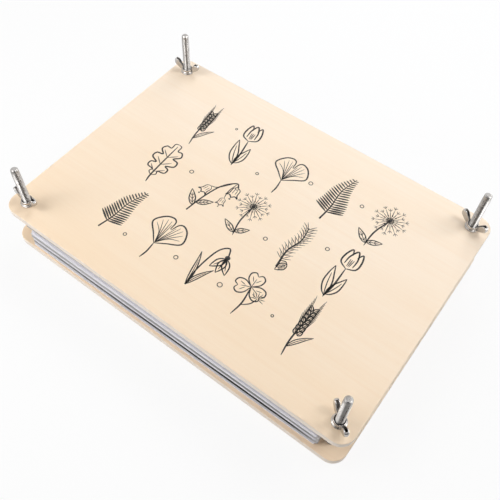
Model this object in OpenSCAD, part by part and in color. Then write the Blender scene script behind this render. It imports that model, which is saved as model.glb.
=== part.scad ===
// Flower press: two plywood boards on four bolts, with cards and blotting paper between them.
// The front is towards -Y, and the press stands on the crowns of its four bolt heads at Z = 0.

/* [Boards] */
// Length of both boards, from left to right
board_l = 300; // [220:1:400]
// Width of both boards, from front to back
board_w = 210; // [150:1:300]
// Thickness of each plywood board
board_t = 6; // [4:0.5:12]
// Radius of the boards' rounded corners
board_corner_r = 11; // [4:0.5:18]
// Distance from a board's short edge to the bolt centres
bolt_inset_x = 13.5; // [12.5:0.5:24]
// Distance from a board's long edge to the bolt centres
bolt_inset_y = 13; // [12.5:0.5:24]
// Gap between a bolt and the wall of a board's hole
hole_clear = 0.25; // [0.1:0.05:0.6]

/* [Bolts] */
// Outer diameter of the bolts' thread
bolt_d = 6; // [5:0.5:7]
// Length of a bolt under its head
bolt_l = 80; // [72:1:110]
// Diameter of the domed head
head_d = 16; // [13:0.5:20]
// Height of the whole head
head_h = 3.6; // [2.6:0.1:5]
// Thickness of the head's straight rim
head_rim_t = 0.6; // [0.3:0.1:1.2]
// Diameter of the flat on the head's crown
crown_d = 6; // [3:0.5:10]
// Wood left above the square neck in the bottom board
neck_cover_t = 1.8; // [0.8:0.1:3]
// Height and width of the chamfer on a bolt's free end
tip_chamfer = 0.6; // [0.2:0.1:1.2]

/* [Washers] */
// Outer diameter of the washers
washer_d = 10.6; // [9:0.2:16]
// Thickness of the washers
washer_t = 1; // [0.6:0.1:2.5]
// Gap between a bolt and its washer's hole
washer_clear = 0.2; // [0.1:0.05:0.5]

/* [Wing nuts] */
// Distance over both wings
wing_span = 24; // [20:0.2:25]
// Height of a nut up to the top of its wings
wing_top = 9.4; // [8:0.2:13]
// Radius of a wing's round end
wing_end_r = 2.7; // [2:0.1:3.4]
// Width of a folded wing where it leaves the hub, seen from above
wing_root_t = 2.1; // [1.9:0.1:2.6]
// Width of a folded wing at its outer end, seen from above
wing_end_t = 3.4; // [3:0.1:4.4]
// Thickness of the sheet that the wings are folded from
wing_wall = 0.75; // [0.5:0.05:0.8]
// Diameter of the collar at the hub's foot
hub_foot_d = 9.8; // [9.2:0.2:12]
// Height of the collar
hub_collar_h = 1; // [0.6:0.2:1.6]
// Diameter of the hub just above its collar
hub_waist_d = 9; // [8.6:0.2:11]
// Diameter of the hub at its top
hub_top_d = 8.4; // [8.2:0.2:11]
// Height of the hub
hub_h = 3; // [2.4:0.2:5]
// Gap between a bolt and the nut's bore
thread_clear = 0.05; // [0.02:0.01:0.1]
// Turn of the wings of the front left nut
wing_turn_front_left = -2; // [-180:1:180]
// Turn of the wings of the front right nut
wing_turn_front_right = -41; // [-180:1:180]
// Turn of the wings of the back left nut
wing_turn_back_left = 8; // [-180:1:180]
// Turn of the wings of the back right nut
wing_turn_back_right = -18; // [-180:1:180]

/* [Cards and blotting paper] */
// Thickness of a fluted card
card_t = 3.2; // [1.5:0.1:4]
// Room between the cards' short edges and the bolts, when a card lies centred and square
card_end_room = 2; // [0.5:0.1:6]
// How far the cards' long edges lie inside the boards' edges, when a card lies centred and square
card_inset = 3.3; // [3:0.1:20]
// Thickness of one sheet of blotting paper
paper_t = 0.55; // [0.4:0.05:1.2]
// Air above each sheet of blotting paper
paper_air = 0.05; // [0.02:0.01:0.1]
// How much shorter the blotting paper is than the cards at each end
paper_end_margin = 1.5; // [1:0.1:15]
// How much narrower the blotting paper is than the cards at each long edge
paper_side_margin = 0.5; // [0.2:0.1:15]
// How far a card or a layer of paper can lie off the middle of the boards, to the front or the back
pile_slip = 2; // [0:0.1:2.5]

/* [Hidden] */

// Resolution of round pieces
$fn = 64;

// How far a cutting solid runs past what it cuts
cut = 1;

// The four corners, as signs along X and Y
front_left = [-1, -1];
front_right = [1, -1];
back_left = [-1, 1];
back_right = [1, 1];
corners = [front_left, front_right, back_left, back_right];

// Bolts and the holes that they pass through
bolt_x = board_l / 2 - bolt_inset_x;
bolt_y = board_w / 2 - bolt_inset_y;
bolt_r = bolt_d / 2;
neck_w = bolt_d;
neck_h = board_t - neck_cover_t;
dome_h = head_h - head_rim_t;
dome_centre_z = (pow(head_d / 2, 2) - pow(crown_d / 2, 2) + pow(dome_h, 2)) / (2 * dome_h);
dome_r = sqrt(pow(crown_d / 2, 2) + pow(dome_centre_z, 2));

// The pile between the boards, from the bottom up: one layer of paper, a card, two layers and a card in turn,
// and one layer below the last card
papers_per_layer = 3;
card_count = 5;
layer_count = 8;
layer_t = papers_per_layer * (paper_t + paper_air);
pile_h = card_count * card_t + layer_count * layer_t;
card_l = 2 * (bolt_x - bolt_r - card_end_room);
card_w = board_w - 2 * card_inset;
paper_l = card_l - 2 * paper_end_margin;
paper_w = card_w - 2 * paper_side_margin;

// Heights of the boards, the pile and the nuts' seats
bottom_board_z = head_h;
pile_z = bottom_board_z + board_t;
top_board_z = pile_z + pile_h;
washer_z = top_board_z + board_t;
nut_z = washer_z + washer_t;

// Where each card lies and how far its corners are turned, as shares of the room at its ends, and its slip
card_shift_share = [-0.6, -0.6, -0.6, -0.55, -0.5];
card_turn_share = [0.33, 0.33, 0.33, 0.3, 0.15];
card_slip_share = [0, -0.1, 0.95, -0.2, 0.3];

// The same for each layer of blotting paper
paper_shift_share = [-0.6, -0.75, -0.6, -0.7, -0.5, -0.4, -0.6, -0.3];
paper_turn_share = [0.33, 0.33, 0.3, 0.2, 0.15, 0.25, 0.1, 0.2];
paper_slip_share = [-0.75, -0.2, -0.12, -0.2, -0.15, 0.6, -0.3, 0.2];

// How far the sheets within one layer are pushed past each other, as shares of the slip
sheet_slip_share = [0, 0.05, -0.03];

// A wing: the centre of its round end, where its sides meet the end, and where its fold stays closed
wing_end_x = wing_span / 2 - wing_end_r;
wing_end_z = wing_top - wing_end_r;
wing_root_x = hub_foot_d / 2 + wing_wall;
wing_root_z = hub_collar_h / 2;
wing_under_angle = -52;
wing_over_angle = 146;
wing_close_angle = 55;
wing_neck_x = hub_top_d / 2;
wing_full_x = (wing_neck_x + wing_end_x) / 2;

// A board's outline with its rounded corners
module board_outline() {
    square([board_l - 2 * board_corner_r, board_w], center = true);
    square([board_l, board_w - 2 * board_corner_r], center = true);
    for (corner = corners)
        translate([
            corner.x * (board_l / 2 - board_corner_r),
            corner.y * (board_w / 2 - board_corner_r)
        ])
            circle(r = board_corner_r);
}

// One round hole at each bolt, between two heights
module bolt_holes(low_z, high_z) {
    for (corner = corners)
        translate([corner.x * bolt_x, corner.y * bolt_y, low_z])
            cylinder(r = bolt_r + hole_clear, h = high_z - low_z);
}

// The square seats that the bolts' necks have pulled themselves into
module neck_seats() {
    for (corner = corners)
        translate([corner.x * bolt_x, corner.y * bolt_y, bottom_board_z + neck_h / 2 - cut / 2])
            cube([neck_w, neck_w, neck_h + cut], center = true);
}

module bottom_board() {
    color("#e8cfae")
        difference() {
            translate([0, 0, bottom_board_z])
                linear_extrude(board_t)
                    board_outline();
            bolt_holes(bottom_board_z + neck_h, pile_z + cut);
            neck_seats();
        }
}

module top_board() {
    color("#f6e3c8")
        difference() {
            translate([0, 0, top_board_z])
                linear_extrude(board_t)
                    board_outline();
            bolt_holes(top_board_z - cut, washer_z + cut);
        }
}

// The head is a slice of a ball with a flat crown and a short straight rim
module bolt_head() {
    intersection() {
        translate([0, 0, dome_centre_z])
            sphere(r = dome_r, $fn = 96);
        cylinder(d = head_d, h = dome_h);
    }
    translate([0, 0, dome_h])
        cylinder(d = head_d, h = head_rim_t);
}

// A bolt with a domed head, a square neck and a chamfered free end
module bolt(corner) {
    color("#c4c6c8")
        translate([corner.x * bolt_x, corner.y * bolt_y, 0]) {
            bolt_head();
            translate([0, 0, head_h + neck_h / 2])
                cube([neck_w, neck_w, neck_h], center = true);
            translate([0, 0, head_h])
                cylinder(r = bolt_r, h = bolt_l - tip_chamfer);
            translate([0, 0, head_h + bolt_l - tip_chamfer])
                cylinder(r1 = bolt_r, r2 = bolt_r - tip_chamfer, h = tip_chamfer);
        }
}

module washer(corner) {
    color("#bfc1c3")
        translate([corner.x * bolt_x, corner.y * bolt_y, washer_z])
            difference() {
                cylinder(d = washer_d, h = washer_t);
                translate([0, 0, -cut])
                    cylinder(r = bolt_r + washer_clear, h = washer_t + 2 * cut);
            }
}

// A direction at an angle from X
function towards(angle) = [cos(angle), sin(angle)];

// One wing's outline, with X outwards and Y up: a round end on a tapered arm
module wing_outline() {
    translate([wing_end_x, wing_end_z])
        circle(r = wing_end_r);
    polygon([
        [0, wing_root_z],
        [wing_root_x, wing_root_z],
        [wing_end_x, wing_end_z] + wing_end_r * towards(wing_under_angle),
        [wing_end_x, wing_end_z] + wing_end_r * towards(wing_over_angle),
        [bolt_r + wing_wall, hub_h],
        [0, hub_h]
    ]);
}

// The outline of a wing's hollow, which is closed outside and below and opens upwards and towards the bolt
module wing_hollow_outline() {
    hollow_end_r = wing_end_r - wing_wall;
    hollow_x = hub_top_d / 2;
    translate([wing_end_x, wing_end_z]) {
        circle(r = hollow_end_r);
        rotate(wing_close_angle)
            translate([-wing_span / 4, 0])
                square([wing_span / 4 + hollow_end_r, wing_span / 2]);
    }
    polygon([
        [hollow_x, hub_collar_h],
        [wing_end_x, wing_end_z] + hollow_end_r * towards(wing_under_angle),
        [wing_end_x, wing_end_z],
        [hollow_x, wing_top + cut]
    ]);
}

// What a wing fills when it is seen from above: a narrow neck that widens to the outer end
module wing_plan(root_t, end_t) {
    polygon([
        [0, -root_t / 2],
        [wing_neck_x, -root_t / 2],
        [wing_full_x, -end_t / 2],
        [wing_span / 2 + cut, -end_t / 2],
        [wing_span / 2 + cut, end_t / 2],
        [wing_full_x, end_t / 2],
        [wing_neck_x, root_t / 2],
        [0, root_t / 2]
    ]);
}

// A wing folded from sheet, with X outwards
module wing() {
    difference() {
        intersection() {
            rotate([90, 0, 0])
                linear_extrude(wing_end_t + 2 * cut, center = true)
                    wing_outline();
            linear_extrude(wing_top + cut)
                wing_plan(wing_root_t, wing_end_t);
        }
        intersection() {
            rotate([90, 0, 0])
                linear_extrude(wing_end_t, center = true)
                    wing_hollow_outline();
            linear_extrude(wing_span)
                wing_plan(wing_root_t - 2 * wing_wall, wing_end_t - 2 * wing_wall);
        }
    }
}

// A wing nut pressed from sheet, its wings turned about the bolt
module wing_nut(corner, turn) {
    color("#c9cbcd")
        translate([corner.x * bolt_x, corner.y * bolt_y, nut_z])
            rotate([0, 0, turn])
                difference() {
                    union() {
                        cylinder(d = hub_foot_d, h = hub_collar_h);
                        cylinder(d1 = hub_waist_d, d2 = hub_top_d, h = hub_h);
                        for (side = [0, 180])
                            rotate([0, 0, side])
                                wing();
                    }
                    translate([0, 0, -cut])
                        cylinder(r = bolt_r + thread_clear, h = wing_top + 2 * cut);
                }
}

// Turns and moves what lies in the pile. A turn by the whole of the room would bring the corners to the bolts
module laid_in(shift_share, turn_share, slip_share, z) {
    translate([shift_share * card_end_room, slip_share * pile_slip, z])
        rotate([0, 0, atan(turn_share * card_end_room / (card_w / 2))])
            children();
}

// Card number 1 lies on the lowest layer of paper
module card(number) {
    layers_below = min(2 * number - 1, layer_count);
    color("#e9e8ea")
        laid_in(
            card_shift_share[number - 1], card_turn_share[number - 1], card_slip_share[number - 1],
            pile_z + layers_below * layer_t + (number - 1) * card_t + card_t / 2
        )
            cube([card_l, card_w, card_t], center = true);
}

// A layer of blotting paper: layer 1 lies below card 1, layers 2 and 3 below card 2, and so on
module blotting_paper(number) {
    cards_below = floor(number / 2);
    layer_z = pile_z + (number - 1) * layer_t + cards_below * card_t;
    color("#d9d8de")
        for (sheet = [0 : papers_per_layer - 1])
            laid_in(
                paper_shift_share[number - 1], paper_turn_share[number - 1], paper_slip_share[number - 1],
                layer_z + sheet * (paper_t + paper_air) + paper_t / 2
            )
                translate([0, sheet_slip_share[sheet] * pile_slip, 0])
                    cube([paper_l, paper_w, paper_t], center = true);
}

bottom_board();
top_board();
bolt(front_left);  // bolt_front_left
bolt(front_right);  // bolt_front_right
bolt(back_left);  // bolt_back_left
bolt(back_right);  // bolt_back_right
washer(front_left);  // washer_front_left
washer(front_right);  // washer_front_right
washer(back_left);  // washer_back_left
washer(back_right);  // washer_back_right
wing_nut(front_left, wing_turn_front_left);  // wing_nut_front_left
wing_nut(front_right, wing_turn_front_right);  // wing_nut_front_right
wing_nut(back_left, wing_turn_back_left);  // wing_nut_back_left
wing_nut(back_right, wing_turn_back_right);  // wing_nut_back_right
card(1);  // card_1
card(2);  // card_2
card(3);  // card_3
card(4);  // card_4
card(5);  // card_5
blotting_paper(1);  // blotting_paper_1
blotting_paper(2);  // blotting_paper_2
blotting_paper(3);  // blotting_paper_3
blotting_paper(4);  // blotting_paper_4
blotting_paper(5);  // blotting_paper_5
blotting_paper(6);  // blotting_paper_6
blotting_paper(7);  // blotting_paper_7
blotting_paper(8);  // blotting_paper_8
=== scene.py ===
# %% [markdown]
# # Dressing a flower press
# The press is two plywood boards on four bolts, with cards and blotting paper squeezed between them.
# Its sizes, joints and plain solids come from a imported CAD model. This lesson gives each piece the small
# shapes and the finish that the CAD leaves out: soft arrises, rolled threads, folded sheet, cut paper edges.

import math

import bpy
import numpy as np
from mathutils import Matrix, Vector
from mathutils.geometry import tessellate_polygon


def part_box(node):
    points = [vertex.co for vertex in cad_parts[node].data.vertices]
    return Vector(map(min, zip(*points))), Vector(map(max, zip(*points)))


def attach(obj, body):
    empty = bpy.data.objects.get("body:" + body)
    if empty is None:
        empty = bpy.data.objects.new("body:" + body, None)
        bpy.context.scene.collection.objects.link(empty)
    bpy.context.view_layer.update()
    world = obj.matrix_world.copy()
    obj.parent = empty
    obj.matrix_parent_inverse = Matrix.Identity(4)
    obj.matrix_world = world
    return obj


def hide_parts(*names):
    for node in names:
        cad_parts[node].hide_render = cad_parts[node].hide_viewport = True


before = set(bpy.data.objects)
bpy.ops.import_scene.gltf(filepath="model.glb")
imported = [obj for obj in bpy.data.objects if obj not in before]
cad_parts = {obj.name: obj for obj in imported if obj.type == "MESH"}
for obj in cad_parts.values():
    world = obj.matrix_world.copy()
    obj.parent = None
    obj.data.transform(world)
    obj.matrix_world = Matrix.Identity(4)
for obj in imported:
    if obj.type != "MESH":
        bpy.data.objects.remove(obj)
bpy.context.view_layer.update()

# %% [markdown]
# Blender works in metres, and the maker of a press thinks in millimetres. One factor turns a size on the
# real object into a length in the scene, so that each number below can be read with a ruler in the hand.

# %% Millimetres
mm = 0.001
corners = ["front_left", "front_right", "back_left", "back_right"]
middle_of = {}
for corner in corners:
    bolt_low, bolt_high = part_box(f"bolt_{corner}")
    middle_of[corner] = ((bolt_low.x + bolt_high.x) / 2, (bolt_low.y + bolt_high.y) / 2)
print("bolt centres in mm:", {k: (round(x / mm, 1), round(y / mm, 1)) for k, (x, y) in middle_of.items()})

# %% [markdown]
# ## Surfaces from numpy
# Each new piece is a surface worked out as a whole array: rows of points, with the same number in each row.
# A grid of points becomes a grid of quads. If the quads run around anticlockwise and the rows climb, all
# faces look outwards, so a closed piece needs only its two ends filled in.

# %% Grids of quads
def grid_faces(rows, columns, first=0, ring=False):
    """Quads of a grid whose points are numbered row by row. The columns always close around. With ring,
    the last row joins the first one too, as in a washer."""
    row = np.arange(rows if ring else rows - 1)
    column = np.arange(columns)
    i, j = (a.ravel() for a in np.meshgrid(row, column, indexing="ij"))
    next_j = (j + 1) % columns
    this_row = i * columns
    next_row = (i + 1) % rows * columns
    quads = np.stack([this_row + j, this_row + next_j, next_row + next_j, next_row + j], 1)
    return (quads + first).tolist()


def end_faces(rows, columns, first=0):
    """The two ends of a closed tube, each one face: the first row turned about, and the last row."""
    low = np.arange(columns)[::-1] + first
    high = np.arange(columns) + (rows - 1) * columns + first
    return [low.tolist(), high.tolist()]


def full_turn(columns):
    """Angles in even steps all the way around."""
    return np.arange(columns) / columns * 2 * math.pi


def rows_around(middle, reach, height, angle):
    """Rows of points around an upright axis: one row for each height, and in it one point for each angle,
    which lies its reach away from the axis."""
    x = middle[0] + reach * np.cos(angle)
    y = middle[1] + reach * np.sin(angle)
    z = np.broadcast_to(height[:, None], x.shape)
    return np.stack([x, y, z], 2)


def piece_from(name, points, faces, masks=None):
    """A smooth-shaded object at the world's origin. A mask is one number per point that materials read."""
    mesh = bpy.data.meshes.new(name)
    mesh.from_pydata(np.asarray(points).reshape(-1, 3).tolist(), [], faces)
    mesh.shade_smooth()
    for mask, values in (masks or {}).items():
        attribute = mesh.attributes.new(mask, "FLOAT", "POINT")
        attribute.data.foreach_set("value", np.asarray(values, np.float32).ravel())
    mesh.validate()
    piece = bpy.data.objects.new(name, mesh)
    bpy.context.scene.collection.objects.link(piece)
    return piece


def stand_for(piece, node, body):
    """The piece takes the CAD node's place: it rides on its body, and the node is hidden."""
    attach(piece, body)
    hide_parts(node)
    print(piece.name, len(piece.data.polygons), "faces")


# %% [markdown]
# ## Outlines with round corners
# Boards, cards and papers are all rectangles with round corners. A corner is drawn about a fixed centre, so
# the outline is kept as two arrays: the fixed line inside, and the direction outwards at each point. An
# inset outline then needs no new work: it is the fixed line plus a shorter step outwards.

# %% Rounded rectangles
def rounded_rectangle(half_l, half_w, corner_r, arc_steps, side_steps):
    """The inner line and the outward direction of a rectangle with round corners, anticlockwise.
    At a corner the inner line stays at the corner's centre while the direction turns by 90 degrees.
    Along a side the direction stays and the inner line moves on in even steps."""
    signs = np.array([[1, -1], [1, 1], [-1, 1], [-1, -1]])
    centre = signs * [half_l - corner_r, half_w - corner_r]
    inner, outward = [], []
    for k in range(4):
        angle = np.linspace(-math.pi / 2, 0, arc_steps) + k * math.pi / 2
        direction = np.stack([np.cos(angle), np.sin(angle)], 1)
        inner.append(np.repeat(centre[k:k + 1], arc_steps, 0))
        outward.append(direction)
        share = np.arange(1, side_steps)[:, None] / side_steps
        inner.append(centre[k] * (1 - share) + centre[(k + 1) % 4] * share)
        outward.append(np.repeat(direction[-1:], side_steps - 1, 0))
    return np.concatenate(inner), np.concatenate(outward)


def slab_rows(inner, outward, corner_r, insets, heights, wave=None):
    """Rows of a slab: the outline at each height, drawn in by that row's inset, plus a small wave."""
    reach = (corner_r - np.asarray(insets))[:, None, None] + (0 if wave is None else wave[..., None])
    flat = inner + outward * reach
    rows, columns = flat.shape[:2]
    height = np.broadcast_to(np.asarray(heights)[:, None, None], (rows, columns, 1))
    return np.concatenate([flat, height], 2)


def arris_profile(low_z, high_z, arris_r, steps=4):
    """Insets and heights from the flat below to the flat above, around two quarter circles. One more row
    on each flat keeps the flats level where the shading is smooth."""
    angle = np.linspace(0, math.pi / 2, steps + 1)
    inset = arris_r * (1 - np.sin(angle))
    rise = arris_r * (1 - np.cos(angle))
    insets = np.concatenate([[2 * arris_r], inset, inset[::-1], [2 * arris_r]])
    heights = np.concatenate([[low_z], low_z + rise, high_z - rise[::-1], [high_z]])
    return insets, heights


# %% [markdown]
# ## The two boards
# The boards are thin plywood, sanded so that the arrises are just broken. They could be cut from a bevelled
# box with four Boolean holes, but Booleans leave long uneven faces. Here the flat is filled between the
# outline and the four holes at once, and each hole is a short tube with its own broken edge.

# %% Boards
board_corner_r = 11 * mm
board_arris_r = 0.7 * mm
hole_r = 3.25 * mm
hole_arris = 0.3 * mm
hole_steps = 32


def hole_rows(middle, low_z, high_z):
    """A hole's rows from the top down: a level rim, a small chamfer, the wall, and the same below."""
    radius = hole_r + hole_arris * np.array([2, 1, 0, 0, 1, 2])
    height = np.array([high_z, high_z, high_z - hole_arris, low_z + hole_arris, low_z, low_z])
    return rows_around(middle, radius[:, None], height, full_turn(hole_steps))


def make_board(name, node):
    """The rim is a closed tube of rows. Each flat is filled between the outline and the four holes, and the
    triangles that come out upside down are turned over."""
    low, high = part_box(node)
    inner, outward = rounded_rectangle(high.x, high.y, board_corner_r, arc_steps=9, side_steps=1)
    insets, heights = arris_profile(low.z, high.z, board_arris_r)
    slab = slab_rows(inner, outward, board_corner_r, insets, heights)
    rows, columns = slab.shape[:2]
    faces = grid_faces(rows, columns)
    points = [slab.reshape(-1, 3)]
    first = rows * columns
    lower_rims, upper_rims = [], []
    for middle in middle_of.values():
        hole = hole_rows(middle, low.z, high.z)
        faces += grid_faces(len(hole), hole_steps, first)
        upper_rims.append(np.arange(hole_steps) + first)
        lower_rims.append(np.arange(hole_steps) + first + (len(hole) - 1) * hole_steps)
        points.append(hole.reshape(-1, 3))
        first += hole.shape[0] * hole_steps
    points = np.concatenate(points)
    outline = np.arange(columns)
    flats = ((lower_rims, outline, True), (upper_rims, outline + (rows - 1) * columns, False))
    for rims, edge, flip in flats:
        loops = [edge] + rims
        order = np.concatenate(loops)
        triangles = np.array(tessellate_polygon([[Vector(p) for p in points[loop]] for loop in loops]))
        a, b, c = (points[order[triangles[:, k]]] for k in range(3))
        upward = np.cross(b - a, c - a)[:, 2] > 0
        turned = upward == flip
        triangles[turned] = triangles[turned][:, ::-1]
        faces += order[triangles].tolist()
    return piece_from(name, points, faces)


top_ply = make_board("plywood_top", "top_board")
bottom_ply = make_board("plywood_bottom", "bottom_board")
stand_for(top_ply, "top_board", "top_board")
stand_for(bottom_ply, "bottom_board", "bottom_board")

# %% [markdown]
# ## The bolts
# Each bolt has a domed head below the bottom board, a square neck that the wood grips, and a rolled thread
# up to its flat tip. The last turns are rolled a little thinner, so that a nut starts easily. A screw made
# with the Screw modifier twists a profile but can't end in a chamfer. One function of angle and height
# gives the whole bolt: it says how far the metal reaches at each point.

# %% Bolts
bolt_r = 3 * mm
root_r = 2.45 * mm
pitch = 1 * mm
tooth_height = 1.35
tooth_slope = 3.1
head_r = 8 * mm
head_rim = 0.6 * mm
rim_nick = 0.15 * mm
crown_r = 3 * mm
crown_flat_r = 2.7 * mm
dome_rows = 9
head_seat_r = 4.5 * mm
neck_reach = 3 * mm
neck_corner_reach = 4.08 * mm
point_taper = 0.32 * mm
point_l = 6 * mm
tip_chamfer = 0.85 * mm
tip_flat_r = 1.575 * mm
tip_shade = 0.15
thread_rows_per_pitch = 8
bolt_columns = 48
sharp_from = math.radians(50)


def thread_reach(angle, height):
    """Radius of a right-handed thread: a tooth that repeats at each pitch and climbs by one pitch in a
    turn. The tooth is a peak, cut off above for a flat crest and below for a flat root."""
    phase = (height / pitch - angle / (2 * math.pi)) % 1
    tooth = np.clip(tooth_height - tooth_slope * np.abs(phase - 0.5), 0, 1)
    return root_r + (bolt_r - root_r) * tooth


def make_bolt(name, node, middle, neck_top, head_top):
    """Rows from the crown of the head up to the tip: a ball's cap, its rim, a square with cut corners, the
    thread held inside the taper and the chamfer of its point, and the flat of the tip."""
    low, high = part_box(node)
    dome_h = head_top - low.z - head_rim
    rim_z = dome_h + head_rim
    ball_z = (head_r ** 2 - crown_r ** 2 + dome_h ** 2) / (2 * dome_h)
    ball_r = math.hypot(crown_r, ball_z)
    angle = full_turn(bolt_columns)

    dome_z = dome_h * np.linspace(0, 1, dome_rows)
    dome_reach = np.sqrt(ball_r ** 2 - (dome_z - ball_z) ** 2)
    head_reach = np.concatenate([[crown_flat_r], dome_reach, [head_r, head_r - rim_nick, head_seat_r]])
    head_z = low.z + np.concatenate([[0], dome_z, [rim_z - rim_nick, rim_z, rim_z]])
    head = np.broadcast_to(head_reach[:, None], (len(head_reach), bolt_columns))

    square = neck_reach / np.maximum(np.abs(np.cos(angle)), np.abs(np.sin(angle)))
    neck_z = np.array([head_top, neck_top])
    neck = np.broadcast_to(np.minimum(square, neck_corner_reach), (len(neck_z), bolt_columns))

    thread_steps = int(round((high.z - neck_top) / pitch * thread_rows_per_pitch))
    thread_z = np.linspace(neck_top, high.z, thread_steps + 1)
    from_tip = high.z - thread_z
    chamfer = bolt_r - point_taper - tip_chamfer + from_tip
    taper = bolt_r - point_taper * (1 - from_tip / point_l)
    thread = thread_reach(angle[None, :], thread_z[:, None])
    thread = np.minimum(thread, np.minimum(chamfer, taper)[:, None])

    tip = np.full((1, bolt_columns), tip_flat_r)
    reach = np.concatenate([head, neck, thread, tip])
    z = np.concatenate([head_z, neck_z, thread_z, [high.z]])
    # The groove mask is painted shade: full in the roots of the thread, a little on the chamfered tip.
    depth = np.clip((bolt_r - reach) / (bolt_r - root_r), 0, 1)
    depth[:len(head_z) + len(neck_z)] = 0
    depth[z > high.z - tip_chamfer] = tip_shade
    faces = grid_faces(len(z), bolt_columns) + end_faces(len(z), bolt_columns)
    piece = piece_from(name, rows_around(middle, reach, z, angle), faces, {"groove_shade": depth})
    piece.data.set_sharp_from_angle(angle=sharp_from)
    return piece


board_low, board_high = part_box("bottom_board")
neck_cover = 1.8 * mm
neck_top = board_high.z - neck_cover
bolts = {}
for corner, middle in middle_of.items():
    node = f"bolt_{corner}"
    bolts[corner] = make_bolt(f"carriage_bolt_{corner}", node, middle, neck_top, board_low.z)
    stand_for(bolts[corner], node, "bottom_board")

# %% [markdown]
# ## The washers
# A punched washer has a rolled upper edge where the punch pulled the metal down, and a sharper edge below. A
# cylinder with a Boolean bore and a Bevel modifier would round both edges alike. Carried around the bolt, a
# section can have any edge it likes, and as it is a closed loop the grid needs no ends.

# %% Washers
washer_columns = 64
washer_bore_r = 3.2 * mm
washer_roll = 0.45 * mm
washer_nick = 0.1 * mm
washer_roll_rows = 5
washer_sharp_from = math.radians(60)


def make_washer(name, node, middle):
    """A closed section carried around the bolt: a rectangle with a large round edge above."""
    low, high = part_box(node)
    outer_r = (high.x - low.x) / 2
    turn = np.linspace(0, math.pi / 2, washer_roll_rows)
    radius = np.concatenate([
        [washer_bore_r + washer_nick, outer_r - washer_nick, outer_r],
        outer_r - washer_roll + washer_roll * np.cos(turn),
        washer_bore_r + washer_roll - washer_roll * np.sin(turn),
        [washer_bore_r],
    ])
    height = np.concatenate([
        [low.z, low.z, low.z + washer_nick],
        high.z - washer_roll + washer_roll * np.sin(turn),
        high.z - washer_roll + washer_roll * np.cos(turn),
        [low.z + washer_nick],
    ])
    points = rows_around(middle, radius[:, None], height, full_turn(washer_columns))
    piece = piece_from(name, points, grid_faces(len(radius), washer_columns, ring=True))
    piece.data.set_sharp_from_angle(angle=washer_sharp_from)
    return piece


washers = {}
for corner, middle in middle_of.items():
    node = f"washer_{corner}"
    washers[corner] = make_washer(f"punched_washer_{corner}", node, middle)
    stand_for(washers[corner], node, "top_board")

# %% [markdown]
# ## The wing nuts
# A light wing nut is pressed from sheet: a low hub on a flange, and two wings folded double, each with a dark
# gap where its fold opens towards the bolt. Booleans have the right parts but hard joints. Here the nut is
# written as a distance, how far a point is from each part, and soft minimums and maximums of the distances
# round every corner as the press tool does.

# %% The nut as a distance
nut_h = 3 * mm
flange_h = 1 * mm
flange_r = 4.9 * mm
hub_low_r = 4.5 * mm
hub_top_r = 4.2 * mm
bore_r = 3.05 * mm
mouth_r = 3.7 * mm
mouth_depth = 1.2 * mm
wing_root = (4.6 * mm, 2.0 * mm)
wing_root_r = 1.7 * mm
wing_end = (9.3 * mm, 6.7 * mm)
wing_end_r = 2.7 * mm
wing_wall = 0.75 * mm
fold_root = (3.3 * mm, 6.9 * mm)
fold_root_r = 5.3 * mm
fold_end = (8.9 * mm, 7.9 * mm)
fold_end_r = 1.7 * mm
neck_half_t = 1.05 * mm
end_half_t = 1.7 * mm
neck_x = 3.6 * mm
full_x = 6.8 * mm
end_round_x = 10.3 * mm
sheet_edge = 0.2 * mm
wing_edge = 0.5 * mm
hub_edge = 0.3 * mm
flange_edge = 0.4 * mm
base_edge = 0.1 * mm
flange_fillet = 0.4 * mm
fold_fillet = 0.7 * mm
mouth_step = 0.4 * mm


def soft_minimum(a, b, blend):
    """The smaller of two distances, with the corner between them rounded over the blend."""
    h = np.clip(0.5 + 0.5 * (b - a) / blend, 0, 1)
    return b * (1 - h) + a * h - blend * h * (1 - h)


def soft_maximum(a, b, blend):
    """The larger of two distances, rounded in the same way."""
    return -soft_minimum(-a, -b, blend)


def bar_distance(x, z, root, root_r, end, end_r):
    """Distance to a tapered bar with round ends. The sides lean away from the axis, so the circle nearest to
    a point lies past the foot of the perpendicular, by the slope times the point's distance from the axis."""
    length = math.dist(root, end)
    unit_x = (end[0] - root[0]) / length
    unit_z = (end[1] - root[1]) / length
    slope = (end_r - root_r) / length
    along = (x - root[0]) * unit_x + (z - root[1]) * unit_z
    away = np.abs((z - root[1]) * unit_x - (x - root[0]) * unit_z)
    share = np.clip((along + away * slope / math.sqrt(1 - slope ** 2)) / length, 0, 1)
    return np.hypot(along - share * length, away) - root_r - (end_r - root_r) * share


def plan_distance(x, y):
    """How far a point lies outside the wing seen from above: a neck that widens smoothly to a round end."""
    share = np.clip((x - neck_x) / (full_x - neck_x), 0, 1)
    half_t = neck_half_t + (end_half_t - neck_half_t) * share ** 2 * (3 - 2 * share)
    return np.hypot(np.maximum(x - end_round_x, 0), y) - half_t


def wing_distance(x, y, z):
    """Distance to one wing: its side view and its plan at once, less the hollow of its fold."""
    plan = plan_distance(x, y)
    outline = bar_distance(x, z, wing_root, wing_root_r, wing_end, wing_end_r)
    plate = soft_maximum(outline, plan, wing_edge)
    fold = bar_distance(x, z, fold_root, fold_root_r, fold_end, fold_end_r)
    return soft_maximum(plate, -np.maximum(fold, plan + wing_wall), sheet_edge)


def disc_distance(around, radius, low_z, high_z, z, blend):
    """Distance to a round plate between two heights, with rounded edges."""
    return soft_maximum(around - radius, np.abs(z - (low_z + high_z) / 2) - (high_z - low_z) / 2, blend)


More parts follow.
